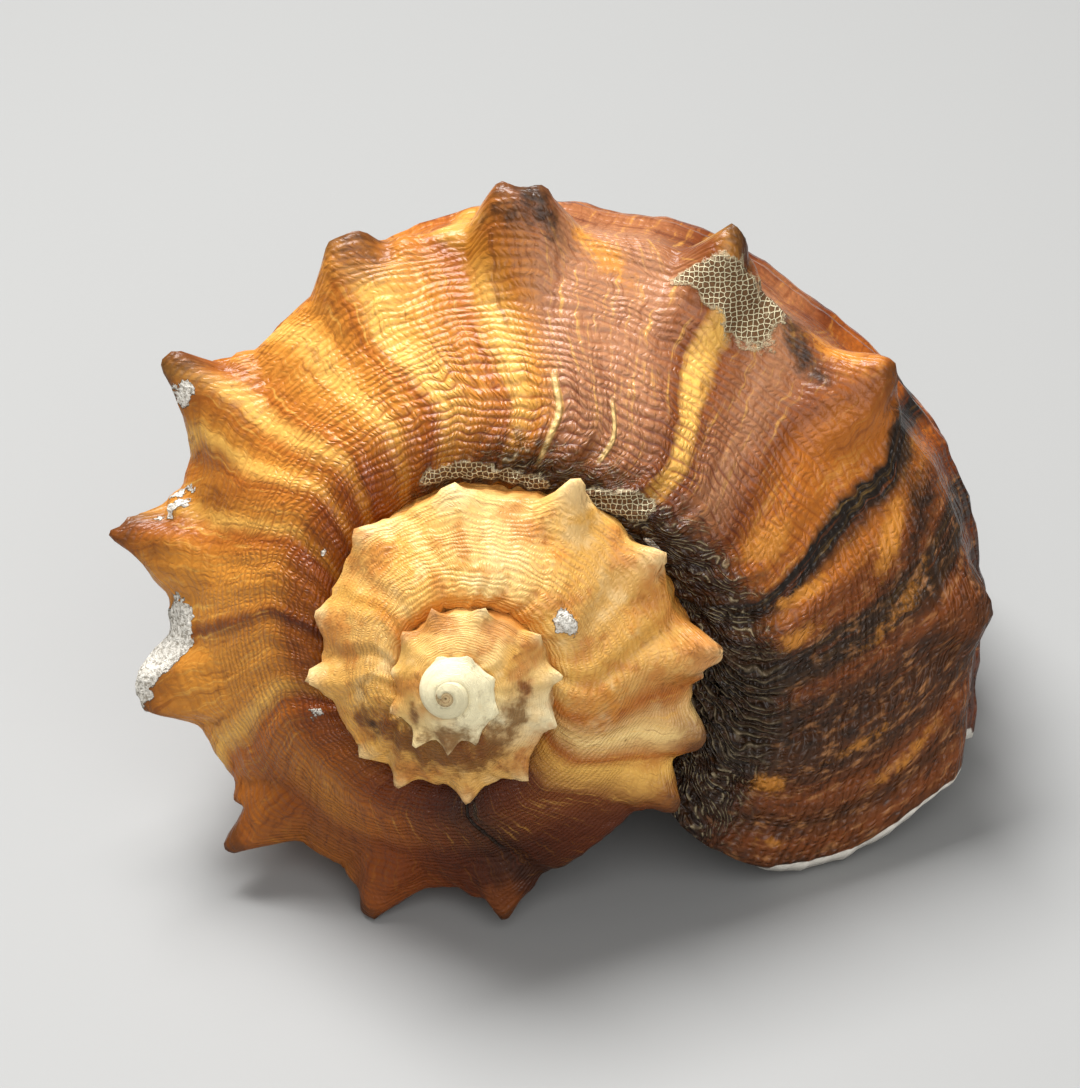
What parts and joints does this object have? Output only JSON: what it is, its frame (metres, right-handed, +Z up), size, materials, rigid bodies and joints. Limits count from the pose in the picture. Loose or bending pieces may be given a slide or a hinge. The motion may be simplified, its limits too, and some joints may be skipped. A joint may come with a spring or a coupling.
{
  "type": "rapa whelk shell",
  "caption": "Empty sea snail shell with a low coiled spire, a spined shoulder, a wide open mouth and a short open canal, lying mouth down.",
  "frame": {"origin": "centre of the bounding box's bottom, on the surface the shell lies on", "axes": "+Z up; the spire points towards -Y and a little up, the canal towards +Y, the mouth down, the outer lip on the +X side"},
  "size_m": [0.0652, 0.0696, 0.0496],
  "materials": {
    "shell": "semi-gloss brown and yellow banded limy shell, pale spire, white lip, patches of white limy crust"
  },
  "bodies": {
    "root": {"shell": "shell"}
  },
  "joints": []
}
